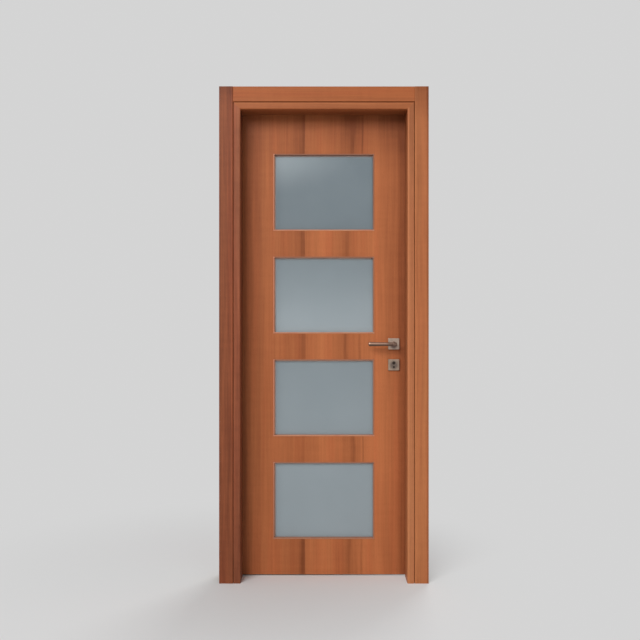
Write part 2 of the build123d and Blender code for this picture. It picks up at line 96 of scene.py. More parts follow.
class NodeGraph:
    """One material's nodes, with short calls for what the finishes use."""

    def __init__(self, name: str) -> None:
        """Start a material that has only its surface shader.

        Args:
            name: The material's name.
        """
        self.material = bpy.data.materials.new(name)
        self.material.use_nodes = True
        self.tree = self.material.node_tree
        self.shader = self.tree.nodes["Principled BSDF"]

    def add(self, kind: str, inputs: dict | None = None, **settings: object) -> bpy.types.Node:
        """Add a node.

        Args:
            kind: Blender's name for the type of node.
            inputs: Values or sockets for its inputs, by name or index.
            settings: Properties of the node itself.

        Returns:
            The new node.
        """
        node = self.tree.nodes.new(kind)
        for key, value in settings.items():
            setattr(node, key, value)
        for key, value in (inputs or {}).items():
            self.feed(node.inputs[key], value)
        return node

    def feed(self, target: Socket, value: object) -> None:
        """Link a socket to an input, or set the input's own value.

        Args:
            target: The input.
            value: A socket, or a value of the input's kind.
        """
        if isinstance(value, bpy.types.NodeSocket):
            self.tree.links.new(value, target)
        elif target.type == "RGBA" and len(value) == 3:
            target.default_value = (*value, 1.0)
        else:
            target.default_value = value

    def set(self, **inputs: object) -> None:
        """Feed the surface shader, with underscores for the spaces in its inputs' names."""
        for key, value in inputs.items():
            self.feed(self.shader.inputs[key.replace("_", " ")], value)

    def math(self, operation: str, a: object, b: object = 0.0, c: object = 0.0) -> Socket:
        """A math node's result."""
        return self.add("ShaderNodeMath", {0: a, 1: b, 2: c}, operation=operation).outputs[0]

    def total(self, start: object, *terms: tuple[Socket, float]) -> Socket:
        """Add noises to a value, each about its middle.

        Args:
            start: The value.
            terms: Each noise with its share.

        Returns:
            The sum.
        """
        for value, share in terms:
            about_middle = self.math("SUBTRACT", value, MIDDLE)
            start = self.math("MULTIPLY_ADD", about_middle, share, start)
        return start

    def step(self, value: Socket, low: float, high: float) -> Socket:
        """A smooth step, up or down.

        Args:
            value: What the step is taken over.
            low: Where the result is 0.
            high: Where it is 1, which may lie under low.

        Returns:
            The step, 0 to 1.
        """
        up = low < high
        node = self.add(
            "ShaderNodeMapRange",
            {"Value": value, "From Min": min(low, high), "From Max": max(low, high),
             "To Min": 0.0 if up else 1.0, "To Max": 1.0 if up else 0.0},
            interpolation_type="SMOOTHSTEP",
        )
        return node.outputs["Result"]

    def near(self, value: Socket, place: float, reach: float, core: float = 0.0) -> Socket:
        """1 within a core of a place, and 0 from a reach on."""
        away = self.math("ABSOLUTE", self.math("SUBTRACT", value, place))
        return self.step(away, reach, core)

    def blend(self, share: Socket, low: object, high: object) -> Socket:
        """A value that goes from low to high with a share."""
        return self.math("MULTIPLY_ADD", share, self.math("SUBTRACT", high, low), low)

    def clamped(self, value: Socket) -> Socket:
        """A value kept between 0 and 1."""
        return self.add("ShaderNodeClamp", {0: value}).outputs[0]

    def distance(self, vector: Socket, place: Point) -> Socket:
        """How far a vector is from a place."""
        node = self.add("ShaderNodeVectorMath", {0: vector, 1: place}, operation="DISTANCE")
        return node.outputs["Value"]

    def between(self, value: Socket, low: float, high: float) -> Socket:
        """1 where a value lies between two limits, and 0 elsewhere."""
        return self.math("COMPARE", value, (low + high) / 2, (high - low) / 2)

    def mix(self, factor: object, a: object, b: object) -> Socket:
        """A blend of two colours.

        Args:
            factor: The share of the second colour.
            a: The first colour.
            b: The second colour.

        Returns:
            The blended colour.
        """
        node = self.add("ShaderNodeMix", data_type="RGBA")
        self.feed(node.inputs["Factor"], factor)
        self.feed(node.inputs[6], a)
        self.feed(node.inputs[7], b)
        return node.outputs[2]

    def stops(self, value: Socket, stops: Sequence[tuple[float, float]]) -> Socket:
        """A line through the given stops.

        Args:
            value: What runs along the line, 0 to 1.
            stops: Places on the line, in order, and the value at each.

        Returns:
            The line's value.
        """
        node = self.add("ShaderNodeValToRGB", {0: value})
        elements = node.color_ramp.elements
        for _ in stops[2:]:
            elements.new(1.0)
        for element, (place, level) in zip(elements, stops):
            element.position = place
            element.color = (level, level, level, 1.0)
        return node.outputs[0]

    def place(self) -> tuple[Socket, Socket, Socket]:
        """The coordinates of a point in the object's own frame, in metres."""
        point = self.add("ShaderNodeTexCoord").outputs["Object"]
        return self.split(point)

    def split(self, vector: Socket) -> tuple[Socket, Socket, Socket]:
        """The three coordinates of a vector."""
        node = self.add("ShaderNodeSeparateXYZ", {0: vector})
        return node.outputs[0], node.outputs[1], node.outputs[2]

    def join(self, x: object, y: object, z: object) -> Socket:
        """A vector from three coordinates."""
        return self.add("ShaderNodeCombineXYZ", {0: x, 1: y, 2: z}).outputs[0]

    def noise(self, vector: Socket, scale: Point, shift: Point = ORIGIN, detail: float = 2.0) -> Socket:
        """Soft noise over a vector that is first stretched and moved.

        Args:
            vector: The place that the noise is read at.
            scale: How fine the noise is along each axis.
            shift: How far the noise is moved.
            detail: How many finer layers it has.

        Returns:
            The noise, 0 to 1.
        """
        stretched = self.add("ShaderNodeMapping", {"Vector": vector, "Location": shift, "Scale": scale})
        inputs = {"Vector": stretched.outputs[0], "Scale": 1.0, "Detail": detail}
        return self.add("ShaderNodeTexNoise", inputs).outputs["Fac"]

    def bump(self, height: Socket, distance: float, strength: float) -> None:
        """Raise the surface by a height, in metres at full strength."""
        node = self.add("ShaderNodeBump", {"Height": height, "Distance": distance, "Strength": strength})
        self.feed(self.shader.inputs["Normal"], node.outputs[0])


@dataclass(frozen=True)
class Zone:
    """A part of a piece: between two limits on one axis, or outside them."""

    axis: Axis
    low: float
    high: float
    outside: bool = False

    def mask(self, graph: NodeGraph, place: Sequence[Socket]) -> Socket:
        """1 in the zone and 0 elsewhere."""
        inside = graph.between(place[self.axis.value], self.low, self.high)
        return graph.math("SUBTRACT", 1.0, inside) if self.outside else inside


@dataclass(frozen=True)
class PaintedLightBand:
    """A band along one axis of a piece where the veneer's tone is painted lighter or darker: painted
    highlights on rounded edges, painted shade in joints, reveals and corners.
    """

    axis: Axis
    place: float
    half_width: float
    tone: float
    within: Zone | None = None

    def added(self, graph: NodeGraph, place: Sequence[Socket]) -> Socket:
        """What the line adds to the tone, where it has a zone only inside that.

        Args:
            graph: The material's nodes.
            place: The point's coordinates.

        Returns:
            The addition.
        """
        share = graph.near(place[self.axis.value], self.place, self.half_width)
        if self.within:
            share = graph.math("MULTIPLY", share, self.within.mask(graph, place))
        return graph.math("MULTIPLY", share, self.tone)


class GrainLayer(Enum):
    """The layers of a veneer's grain: how fine each is across and along it, and its detail."""

    DRIFT = (3.0, 1.4, 1.0)
    BAND = (26.0, 0.5, 2.0)
    LEAF_BAND = (24.0, 0.8, 2.0)
    STRIPE = (105.0, 2.6, 1.0)
    STREAK = (330.0, 4.5, 2.0)
    FINE = (1500.0, 13.0, 2.0)
    RIPPLE = (9.0, 46.0, 1.0)
    PORES = (2600.0, 70.0, 1.0)
    REDDER = (19.0, 0.9, 2.0)


@dataclass(frozen=True)
class Veneer:
    """A satin lacquered veneer with straight grain, over board that shows where it is bare."""

    name: str
    dark: Colour = srgb(120, 63, 34)
    light: Colour = srgb(182, 105, 59)
    pore: Colour = srgb(78, 34, 16)
    board: Colour = srgb(176, 146, 108)
    grain: Axis = Axis.Z
    sway: float = 9 * MM
    shift: Point = ORIGIN
    tone: float = 0.6
    spread: float = 0.5
    stripe: float = 0.4
    streak: float = 0.34
    fine: float = 0.24
    ripple: float = 0.14
    blush: float = 0.7
    blush_fade: float = 0.80
    blush_range: Range = (0.40, 0.66)
    foot_painted_light: float = 0.0
    foot_range: Range = (2.0, 0.1)
    bare: tuple[Zone, ...] = ()
    painted_bands: tuple[PaintedLightBand, ...] = ()
    pore_range: Range = (0.62, 0.74)
    pore_share: float = 0.35
    pore_sink: float = 0.6
    roughness: float = 0.48
    streak_roughness: float = 0.12
    fine_roughness: float = 0.10
    sheen: float = 0.14
    relief: float = 0.15 * MM
    relief_strength: float = 0.35
    speck_scale: float = 900.0
    speck_range: Range = (0.35, 0.75)
    speck_share: float = 0.4
    board_roughness: float = 0.4

    def redder_light(self) -> Colour:
        """The light colour where the wood is redder."""
        red, green, blue = self.light
        return red, self.blush_fade * green, self.blush_fade * blue

    def layer(self, graph: NodeGraph, place: Socket, kind: GrainLayer) -> Socket:
        """One layer of the grain, where the redder wood doesn't follow the other layers.

        Args:
            graph: The material's nodes.
            place: The point as a vector.
            kind: Which layer.

        Returns:
            The layer's noise, 0 to 1.
        """
        across, along, detail = kind.value
        scales = [across] * 3
        scales[self.grain.value] = along
        shift = self.shift[::-1] if kind is GrainLayer.REDDER else self.shift
        return graph.noise(place, tuple(scales), shift, detail)

    def wandered(self, graph: NodeGraph, place: Sequence[Socket]) -> Socket:
        """A point's place, with the grain's lines bent a little from side to side.

        Args:
            graph: The material's nodes.
            place: The point's coordinates.

        Returns:
            The place as a vector.
        """
        drift = self.layer(graph, graph.join(*place), GrainLayer.DRIFT)
        offset = graph.total(0.0, (drift, 2 * self.sway))
        bent = [graph.math("ADD", part, offset) for part in place]
        bent[self.grain.value] = place[self.grain.value]
        return graph.join(*bent)

    def base_tone(self, graph: NodeGraph, place: Sequence[Socket], bent: Socket) -> Socket:
        """How light the veneer is before its streaks: 0 for dark and 1 for light.

        Args:
            graph: The material's nodes.
            place: The point's coordinates.
            bent: The place along the bent grain.

        Returns:
            The tone.
        """
        tone = graph.total(self.tone, (self.layer(graph, bent, GrainLayer.BAND), self.spread))
        # Painted light towards the foot where the share is above 0, painted shade where it is below 0,
        # evening out how the lamps' light changes with height.
        if self.foot_painted_light:
            fall = graph.step(place[Axis.Z.value], *self.foot_range)
            tone = graph.math("MULTIPLY_ADD", fall, self.foot_painted_light, tone)
        return tone

    def material(self) -> bpy.types.Material:
        """Build the veneer.

        Returns:
            The finished material.
        """
        graph = NodeGraph(self.name)
        place = graph.place()
        bent = self.wandered(graph, place)
        stripe = self.layer(graph, bent, GrainLayer.STRIPE)
        streak = self.layer(graph, bent, GrainLayer.STREAK)
        fine = self.layer(graph, bent, GrainLayer.FINE)
        ripple = self.layer(graph, bent, GrainLayer.RIPPLE)
        pores = graph.step(self.layer(graph, bent, GrainLayer.PORES), *self.pore_range)
        redder = graph.step(self.layer(graph, bent, GrainLayer.REDDER), *self.blush_range)
        tone = graph.total(
            self.base_tone(graph, place, bent),
            (stripe, self.stripe), (streak, self.streak), (fine, self.fine), (ripple, self.ripple),
        )
        # Painted highlights and painted shade from the piece's bands.
        for arris in self.painted_bands:
            tone = graph.math("ADD", tone, arris.added(graph, place))
        light = graph.mix(graph.math("MULTIPLY", redder, self.blush), self.light, self.redder_light())
        colour = graph.mix(graph.clamped(tone), self.dark, light)
        colour = graph.mix(graph.math("MULTIPLY", pores, self.pore_share), colour, self.pore)
        roughness = graph.total(
            self.roughness, (streak, self.streak_roughness), (fine, self.fine_roughness)
        )
        bare = self.bare_mask(graph, place)
        if bare is not None:
            colour = graph.mix(bare, colour, self.bare_board(graph, place))
            roughness = graph.math("MULTIPLY_ADD", bare, self.board_roughness, roughness)
        graph.set(Base_Color=colour, Roughness=roughness, Specular_IOR_Level=self.sheen)
        height = graph.math("SUBTRACT", fine, graph.math("MULTIPLY", pores, self.pore_sink))
        graph.bump(height, self.relief, self.relief_strength)
        return graph.material

    def bare_mask(self, graph: NodeGraph, place: Sequence[Socket]) -> Socket | None:
        """Where the piece shows bare board.

        Args:
            graph: The material's nodes.
            place: The point's coordinates.

        Returns:
            1 where all the bare zones meet and 0 elsewhere, or nothing for a piece without such zones.
        """
        mask = None
        for zone in self.bare:
            here = zone.mask(graph, place)
            mask = here if mask is None else graph.math("MULTIPLY", mask, here)
        return mask

    def bare_board(self, graph: NodeGraph, place: Sequence[Socket]) -> Socket:
        """The colour of bare board, with its specks.

        Args:
            graph: The material's nodes.
            place: The point's coordinates.

        Returns:
            The colour.
        """
        speckle = graph.noise(graph.join(*place), even(self.speck_scale), self.shift, detail=3.0)
        shade = graph.mix(graph.step(speckle, *self.speck_range), self.board, self.pore)
        return graph.mix(self.speck_share, self.board, shade)


@dataclass(frozen=True)
class FigureLine:
    """A line of the leaf's figure: its place from the hinge jamb's outer face and its tone."""

    across: float
    tone: float


@dataclass(frozen=True)
class RailFigure:
    """The figure at a height: its wavy line's shift, its lines' depths and its lock side's lift."""

    height: float
    shift: float
    depth: float
    vein: float
    lift: float = 0.0


@dataclass(frozen=True)
class LeafVeneer(Veneer):
    """The leaf's veneer, whose figure runs through all its rails and wanders on the way."""

    leaf_height: float = 2.057
    dark_line: float = 0.305
    wavy_line: float = 0.500
    vein_line: float = 0.563
    lock_line: float = 0.672
    line_reach: float = 110 * MM
    line_core: float = 30 * MM
    vein_half: float = 9 * MM
    vein_tone: float = -0.45
    faded_tone: float = 0.63
    most_shift: float = 34 * MM
    rails: tuple[RailFigure, ...] = (
        RailFigure(0.085, 5 * MM, 1.0, 0.5, 0.10),
        RailFigure(0.562, 32 * MM, 0.2, 1.0, 0.25),
        RailFigure(1.019, -9 * MM, 0.6, 0.5, 0.08),
        RailFigure(1.475, 4 * MM, 0.75, 0.0),
        RailFigure(1.966, 29 * MM, 0.7, 1.0),
    )
    # Painted shade towards the top of the leaf.
    crown_shade_from: float = 1.76
    crown_shade_tones: Range = (-0.26, -0.57)
    crown_shade_lean: Range = (0.25, 0.55)
    figure: tuple[FigureLine, ...] = (
        FigureLine(0.030, 0.38),
        FigureLine(0.070, 0.46),
        FigureLine(0.094, 0.57),
        FigureLine(0.104, 0.54),
        FigureLine(0.117, 0.42),
        FigureLine(0.130, 0.52),
        FigureLine(0.181, 0.64),
        FigureLine(0.234, 0.58),
        FigureLine(0.280, 0.42),
        FigureLine(0.3005, 0.16),
        FigureLine(0.3085, 0.02),
        FigureLine(0.3155, 0.0),
        FigureLine(0.3205, 0.62),
        FigureLine(0.394, 0.86),
        FigureLine(0.447, 0.71),
        FigureLine(0.490, 0.49),
        FigureLine(0.507, 0.24),
        FigureLine(0.516, 0.54),
        FigureLine(0.556, 0.76),
        FigureLine(0.573, 0.80),
        FigureLine(0.643, 0.78),
        FigureLine(0.672, 0.66),
        FigureLine(0.690, 0.55),
        FigureLine(0.726, 0.54),
        # The lines from here on darken the lock side's edge: painted shade beside the strike jamb.
        FigureLine(0.740, 0.31),
        FigureLine(0.773, 0.14),
    )

    def by_rail(self, graph: NodeGraph, height: Socket, levels: Iterable[float]) -> Socket:
        """A level that is given for each rail, and blended from rail to rail."""
        places = [rail.height / self.leaf_height for rail in self.rails]
        return graph.stops(height, list(zip(places, levels)))

    def by_line(self, graph: NodeGraph, across: Socket, line: float) -> Socket:
        """1 at a line of the figure and 0 well away from it."""
        return graph.near(across, line, self.line_reach, self.line_core)

    def waved(self, graph: NodeGraph, bent_x: Socket, height: Socket) -> Socket:
        """A point's place across the leaf, moved where the wavy line is.

        Args:
            graph: The material's nodes.
            bent_x: The place across the bent grain.
            height: The height as a share of the leaf's.

        Returns:
            The place in the figure.
        """
        levels = [MIDDLE + rail.shift / (2 * self.most_shift) for rail in self.rails]
        shift = graph.total(0.0, (self.by_rail(graph, height, levels), 2 * self.most_shift))
        moved = graph.math("MULTIPLY", shift, self.by_line(graph, bent_x, self.wavy_line))
        return graph.math("SUBTRACT", bent_x, moved)

    def line_tone(self, graph: NodeGraph, across: Socket) -> Socket:
        """The tone of the figure's lines.

        Args:
            graph: The material's nodes.
            across: The place in the figure.

        Returns:
            The tone.
        """
        left = self.figure[0].across
        width = self.figure[-1].across - left
        share = graph.math("DIVIDE", graph.math("SUBTRACT", across, left), width)
        return graph.stops(share, [((line.across - left) / width, line.tone) for line in self.figure])

    def base_tone(self, graph: NodeGraph, place: Sequence[Socket], bent: Socket) -> Socket:
        """The figure's tone with slow change along the grain, as in a plain veneer.

        Args:
            graph: The material's nodes.
            place: The point's coordinates.
            bent: The place along the bent grain.

        Returns:
            The tone.
        """
        bent_x = graph.split(bent)[Axis.X.value]
        height = graph.math("DIVIDE", place[Axis.Z.value], self.leaf_height)
        across = self.waved(graph, bent_x, height)
        band = self.layer(graph, bent, GrainLayer.LEAF_BAND)
        tone = graph.total(self.line_tone(graph, across), (band, self.spread))
        veins = self.by_rail(graph, height, [rail.vein for rail in self.rails])
        vein = graph.math("MULTIPLY", graph.near(across, self.vein_line, self.vein_half), veins)
        tone = graph.math("MULTIPLY_ADD", vein, self.vein_tone, tone)
        lift = self.by_rail(graph, height, [rail.lift for rail in self.rails])
        tone = graph.math("MULTIPLY_ADD", lift, self.by_line(graph, bent_x, self.lock_line), tone)
        # Painted shade: darker towards the top of the leaf, under the head, and darker still towards the
        # lock side.
        crown_shade = graph.step(place[Axis.Z.value], self.crown_shade_from, self.leaf_height)
        lean = graph.blend(graph.step(bent_x, *self.crown_shade_lean), *self.crown_shade_tones)
        tone = graph.math("MULTIPLY_ADD", crown_shade, lean, tone)
        shown = self.by_rail(graph, height, [rail.depth for rail in self.rails])
        faded = graph.math("SUBTRACT", 1.0, shown)
        faded = graph.math("MULTIPLY", faded, self.by_line(graph, bent_x, self.dark_line))
        return graph.blend(faded, tone, self.faded_tone)


@dataclass(frozen=True)
class BeadVeneer(Veneer):
    """The beads' veneer with painted light: each pane's left and bottom bead carry a painted highlight,
    least bright low on the leaf, and the other beads painted shade, darkest high on the leaf.
    """

    left: float = 0.0
    bottom: float = 0.0
    pitch: float = 1.0
    width: float = 6 * MM
    low_highlight: float = 0.45
    low_shade: float = 0.3
    highlight_range: Range = (0.1, 0.8)
    shade_range: Range = (1.8, 1.3)

    def base_tone(self, graph: NodeGraph, place: Sequence[Socket], bent: Socket) -> Socket:
        """The tone of a bead by its place round the pane: a painted highlight on the left and bottom
        beads, painted shade on the others.

        Args:
            graph: The material's nodes.
            place: The point's coordinates.
            bent: The place along the bent grain, which the beads don't need.

        Returns:
            The tone.
        """
        x, _, z = place
        at_left = graph.between(x, self.left, self.left + self.width)
        rise = graph.math("FLOORED_MODULO", graph.math("SUBTRACT", z, self.bottom), self.pitch)
        at_bottom = graph.between(rise, 0.0, self.width)
        light = graph.math("MAXIMUM", at_left, at_bottom)
        lit = graph.blend(graph.step(z, *self.highlight_range), self.low_highlight, 1.0)
        unlit = graph.math("MULTIPLY", graph.step(z, *self.shade_range), self.low_shade)
        return graph.blend(light, unlit, lit)


@dataclass(frozen=True)
class SatinGlass:
    """Etched glass, bluish grey, with the soft clouds of its milky face, and painted reflection, light
    and shade by place.
    """

    name: str
    box: tuple[Vector, Vector]
    bead_width: float
    top_tone: float
    bottom_tone: float
    painted_corner_glow: float
    corner_reach: float = 190 * MM
    corner_squeeze: float = 0.45
    painted_side_shade: float = -0.10
    side_reach: float = 62 * MM
    painted_bead_light: float = 0.6
    edge_reach: float = 14 * MM
    painted_glint_share: float = 0.8
    painted_glint_reach: float = 6.5 * MM
    dark: Colour = srgb(102, 115, 122)
    light: Colour = srgb(167, 178, 183)
    # Colour of the painted glint along the left and top beads.
    rim: Colour = srgb(225, 190, 175)
    cloud_scale: float = 5.0
    cloud_tone: float = 0.16
    cloud_roughness: float = 0.06
    etch_scale: float = 1800.0
    etch_tone: float = 0.10
    etch_roughness: float = 0.12
    roughness: float = 0.42
    clearness: float = 0.25
    sheen: float = 0.4
    relief: float = 0.06 * MM
    relief_strength: float = 0.3

    def by_beads(self, graph: NodeGraph, x: Socket, z: Socket, reach: float) -> Socket:
        """How near a point is to the left or the top bead: 1 at the bead and 0 from a reach on.

        Args:
            graph: The material's nodes.
            x: The point's place across the pane.
            z: Its height.
            reach: How far from a bead the value falls to 0.

        Returns:
            The nearness.
        """
        left, top = self.box[0].x + self.bead_width, self.box[1].z - self.bead_width
        by_left = graph.step(x, left + reach, left)
        by_top = graph.step(z, top - reach, top)
        return graph.math("MAXIMUM", by_left, by_top)

    def place_tone(self, graph: NodeGraph, x: Socket, z: Socket) -> Socket:
        """How light the glass is by place: a painted reflection from top to bottom that glows in the top
        left corner, painted shade along the left side, and painted light along the left and top beads.

        Args:
            graph: The material's nodes.
            x: The point's place across the pane.
            z: Its height.

        Returns:
            The tone, 0 for dark and 1 for light.
        """
        low, high = self.box
        tone = graph.blend(graph.step(z, low.z, high.z), self.bottom_tone, self.top_tone)
        squeezed = graph.math("MULTIPLY", x, self.corner_squeeze)
        corner = (low.x * self.corner_squeeze, 0.0, high.z)
        glow = graph.step(graph.distance(graph.join(squeezed, 0.0, z), corner), self.corner_reach, 0.0)
        tone = graph.math("MULTIPLY_ADD", glow, self.painted_corner_glow, tone)
        side = graph.step(x, low.x + self.side_reach, low.x)
        tone = graph.math("MULTIPLY_ADD", side, self.painted_side_shade, tone)
        edge = self.by_beads(graph, x, z, self.edge_reach)
        return graph.math("MULTIPLY_ADD", edge, self.painted_bead_light, tone)

    def material(self) -> bpy.types.Material:
        """Build the glass.

        Returns:
            The finished material.
        """
        graph = NodeGraph(self.name)
        x, y, z = graph.place()
        point = graph.join(x, y, z)
        cloud = graph.noise(point, even(self.cloud_scale))
        etch = graph.noise(point, even(self.etch_scale))
        base = self.place_tone(graph, x, z)
        tone = graph.total(base, (cloud, self.cloud_tone), (etch, self.etch_tone))
        colour = graph.mix(graph.clamped(tone), self.dark, self.light)
        # Painted glint along the left and top beads.
        rim = graph.math("MULTIPLY", self.by_beads(graph, x, z, self.painted_glint_reach), self.painted_glint_share)
        graph.set(
            Base_Color=graph.mix(rim, colour, self.rim),
            Roughness=graph.total(
                self.roughness, (etch, self.etch_roughness), (cloud, self.cloud_roughness)
            ),
            Transmission_Weight=self.clearness,
            Specular_IOR_Level=self.sheen,
        )
        graph.bump(etch, self.relief, self.relief_strength)
        return graph.material


@dataclass(frozen=True)
class PlatedMetal:
    """Satin plated metal, brushed along one axis, that may carry painted shade below and at one end, and
    a darker patch round a point.
    """

    name: str
    tone: Colour
    dull: Colour
    brush: Axis = Axis.X
    roughness: float = 0.36
    underside_shade: Colour | None = None
    underside_shade_range: Range = (0.30, -0.45)
    end_range: Range = (0.0, 0.0)
    end_share: float = 0.8
    dark_patch: Colour | None = None
    dark_patch_at: Point = ORIGIN
    dark_patch_reach: float = 20 * MM
    dark_patch_core: float = 0.4
    brush_scale: float = 2400.0
    brush_run: float = 60.0
    brush_roughness: float = 0.22
    cloud_scale: float = 55.0
    cloud_roughness: float = 0.12
    dull_range: Range = (0.35, 0.75)
    dull_share: float = 0.6
    relief: float = 0.03 * MM
    relief_strength: float = 0.25

    def shaded(self, graph: NodeGraph, place: Sequence[Socket]) -> Socket:
        """Which faces carry painted shade: those that look down, and those at one end.

        Args:
            graph: The material's nodes.
            place: The point's coordinates.

        Returns:
            How dark a face is, 0 to 1.
        """
        facing = graph.add("ShaderNodeTexCoord").outputs["Normal"]
        below = graph.step(graph.split(facing)[Axis.Z.value], *self.underside_shade_range)
        at_end = graph.step(place[Axis.X.value], *self.end_range)
        return graph.math("MAXIMUM", below, graph.math("MULTIPLY", at_end, self.end_share))

    def dark_patch_share(self, graph: NodeGraph, place: Sequence[Socket]) -> Socket:
        """How much of the dark patch lies at a place.

        Args:
            graph: The material's nodes.
            place: The point's coordinates.

        Returns:
            The patch's share, 0 to 1.
        """
        flat = graph.join(place[Axis.X.value], 0.0, place[Axis.Z.value])
        away = graph.distance(flat, self.dark_patch_at)
        return graph.step(away, self.dark_patch_reach, self.dark_patch_core * self.dark_patch_reach)

    def material(self) -> bpy.types.Material:
        """Build the metal.

        Returns:
            The finished material.
        """
        graph = NodeGraph(self.name)
        place = graph.place()
        point = graph.join(*place)
        scales = list(even(self.brush_scale))
        scales[self.brush.value] = self.brush_run
        lines = graph.noise(point, tuple(scales))
        cloud = graph.noise(point, even(self.cloud_scale), detail=3.0)
        dulled = graph.math("MULTIPLY", graph.step(cloud, *self.dull_range), self.dull_share)
        colour = graph.mix(dulled, self.tone, self.dull)
        # Painted shade on faces that look down and at one end.
        if self.underside_shade:
            colour = graph.mix(self.shaded(graph, place), colour, self.underside_shade)
        # A darker patch round a point: on the roses it is the lever's painted shadow, on the escutcheons
        # it darkens the plate round the cylinder.
        if self.dark_patch:
            colour = graph.mix(self.dark_patch_share(graph, place), colour, self.dark_patch)
        graph.set(
            Base_Color=colour,
            Metallic=1.0,
            Roughness=graph.total(
                self.roughness, (lines, self.brush_roughness), (cloud, self.cloud_roughness)
            ),
        )
        graph.bump(lines, self.relief, self.relief_strength)
        return graph.material


@dataclass(frozen=True)
class SealRubber:
    """Matt rubber of the door seal, with a faint bloom."""

    name: str = "seal_rubber"
    tone: Colour = srgb(62, 44, 36)
    bloom: Colour = srgb(92, 74, 64)
    bloom_scale: Point = (40.0, 40.0, 9.0)
    bloom_range: Range = (0.45, 0.85)
    bloom_roughness: float = 0.15
    grit_scale: float = 1400.0
    roughness: float = 0.78
    relief: float = 0.05 * MM
    relief_strength: float = 0.3

    def material(self) -> bpy.types.Material:
        """Build the rubber.

        Returns:
            The finished material.
        """
        graph = NodeGraph(self.name)
        point = graph.join(*graph.place())
        bloom = graph.noise(point, self.bloom_scale, detail=3.0)
        grit = graph.noise(point, even(self.grit_scale), detail=1.0)
        graph.set(
            Base_Color=graph.mix(graph.step(bloom, *self.bloom_range), self.tone, self.bloom),
            Roughness=graph.total(self.roughness, (bloom, self.bloom_roughness)),
        )
        graph.bump(grit, self.relief, self.relief_strength)
        return graph.material


def dress(nodes: Iterable[str], material: bpy.types.Material) -> None:
    """Give CAD nodes a finish.

    Args:
        nodes: Names of the nodes.
        material: The finish.
    """
    for name in nodes:
        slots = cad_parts[name].data.materials
        slots.clear()
        slots.append(material)
        log.info("%s: %s", name, material.name)


def circle(radius: float, sides: int) -> Outline:
    """An even outline round a centre.

    Args:
        radius: From the centre to each point.
        sides: How many points.

    Returns:
        The points, anticlockwise.
    """
    turns = [math.tau * i / sides for i in range(sides)]
    return [(radius * math.cos(turn), radius * math.sin(turn)) for turn in turns]


def seat(centre: Point, facing: Point, turn: float = 0.0) -> Matrix:
    """A frame on a surface, with its Z out of the surface.

    Args:
        centre: A point on the surface.
        facing: The way out of the surface.
        turn: How far the frame is turned about its Z.

    Returns:
        The frame.
    """
    out = Vector(facing).to_track_quat("Z", "Y").to_matrix().to_4x4()
    return Matrix.Translation(centre) @ out @ Matrix.Rotation(turn, 4, "Z")


class PieceMesh:
    """A mesh of small turned pieces, made from loops of points."""

    def __init__(self) -> None:
        """Start with nothing in the mesh."""
        self.mesh = bmesh.new()

    def loop(self, place: Matrix, outline: Outline, height: float) -> list[bmesh.types.BMVert]:
        """Add the points of an outline at a height over a seat."""
        return [self.mesh.verts.new(place @ Vector((x, y, height))) for x, y in outline]

    def band(self, lower: list[bmesh.types.BMVert], upper: list[bmesh.types.BMVert]) -> None:
        """Close the strip between two loops of as many points."""
        for i in range(len(lower)):
            self.mesh.faces.new((lower[i - 1], lower[i], upper[i], upper[i - 1]))

    def ring(self, outer: list[bmesh.types.BMVert], inner: list[bmesh.types.BMVert]) -> None:
        """Fill the flat space between two loops.

        Args:
            outer: The loop round the space.
            inner: The loop in the middle, which stays open.
        """
        edges = []
        for loop in (outer, inner):
            for i in range(len(loop)):
                pair = (loop[i - 1], loop[i])
                edges.append(self.mesh.edges.get(pair) or self.mesh.edges.new(pair))
        bmesh.ops.triangle_fill(self.mesh, use_beauty=True, edges=edges)

    def finish(self, name: str, body: str, material: bpy.types.Material) -> None:
        """Make the mesh a piece of the door.

        Args:
            name: The piece's name.
            body: The body that it moves with.
            material: Its finish.
        """
        bmesh.ops.recalc_face_normals(self.mesh, faces=self.mesh.faces)
        data = bpy.data.meshes.new(name)
        self.mesh.to_mesh(data)
        self.mesh.free()
        data.shade_smooth()
        data.set_sharp_from_angle(angle=SHARP_ANGLE)
        data.materials.append(material)
        piece = bpy.data.objects.new(name, data)
        bpy.context.scene.collection.objects.link(piece)
        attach(piece, body)
        log.info("%s: %d faces on %s", name, len(data.polygons), body)


@dataclass(frozen=True)
class ScrewHead:
    """A raised countersunk screw head with a cross recess."""

    radius: float = 3.7 * MM
    rise: float = 0.8 * MM
    recess_reach: float = 2.0 * MM
    recess_half_width: float = 0.45 * MM
    recess_depth: float = 0.7 * MM
    sides: int = 32
    dome: tuple[Range, ...] = ((1.0, 0.0), (0.95, 0.4), (0.84, 0.78), (0.66, 1.0))

    def add_to(self, pieces: PieceMesh, place: Matrix) -> None:
        """Add one head to a mesh.

        Args:
            pieces: The mesh that takes the head.
            place: The head's seat on the plate.
        """
        loops = [
            pieces.loop(place, circle(self.radius * share, self.sides), self.rise * height)
            for share, height in self.dome
        ]
        for lower, upper in zip(loops, loops[1:]):
            pieces.band(lower, upper)
        pieces.mesh.faces.new(loops[0])
        mouth = pieces.loop(place, self.cross(), self.rise)
        floor = pieces.loop(place, self.cross(), self.rise - self.recess_depth)
        pieces.ring(loops[-1], mouth)
        pieces.band(mouth, floor)
        pieces.mesh.faces.new(floor)

    def cross(self) -> Outline:
        """Draw the cross recess.

        Returns:
            Its outline, arm by arm.
        """
        reach, half = self.recess_reach, self.recess_half_width
        arm = [(reach, -half), (reach, half), (half, half)]
        points: Outline = []
        for _ in range(4):
            points += arm
            arm = [(-y, x) for x, y in arm]
        return points


